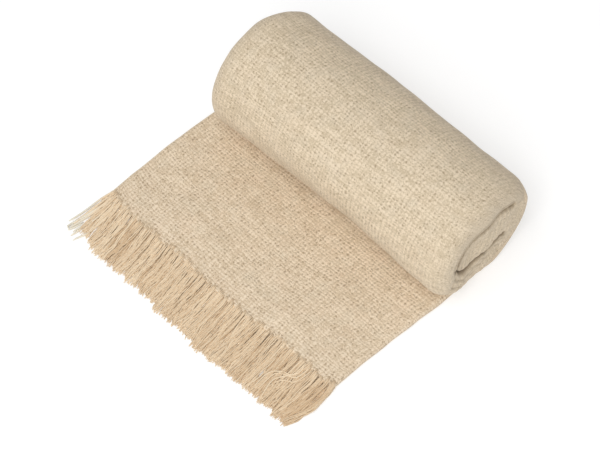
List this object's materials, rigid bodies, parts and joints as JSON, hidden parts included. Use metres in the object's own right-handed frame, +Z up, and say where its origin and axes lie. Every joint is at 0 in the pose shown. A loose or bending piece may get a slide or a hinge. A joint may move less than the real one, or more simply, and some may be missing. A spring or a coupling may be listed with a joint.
{
  "type": "rolled throw blanket",
  "caption": "Woven throw folded lengthwise and rolled into an oval bundle, with its free end laid flat and a fringe of loose yarns along that edge.",
  "frame": {"origin": "On the floor under the middle of the roll.", "axes": "+Z up; X runs along the roll; the flat fringed end points towards -Y."},
  "size_m": [0.3362, 0.3267, 0.1318],
  "materials": {
    "woven_cloth": "matt plain weave with slubs and small gaps between the yarns",
    "loose_yarn": "matt spun yarn"
  },
  "bodies": {
    "root": {"throw_cloth": "woven_cloth", "fringe_yarns": "loose_yarn"}
  },
  "joints": []
}
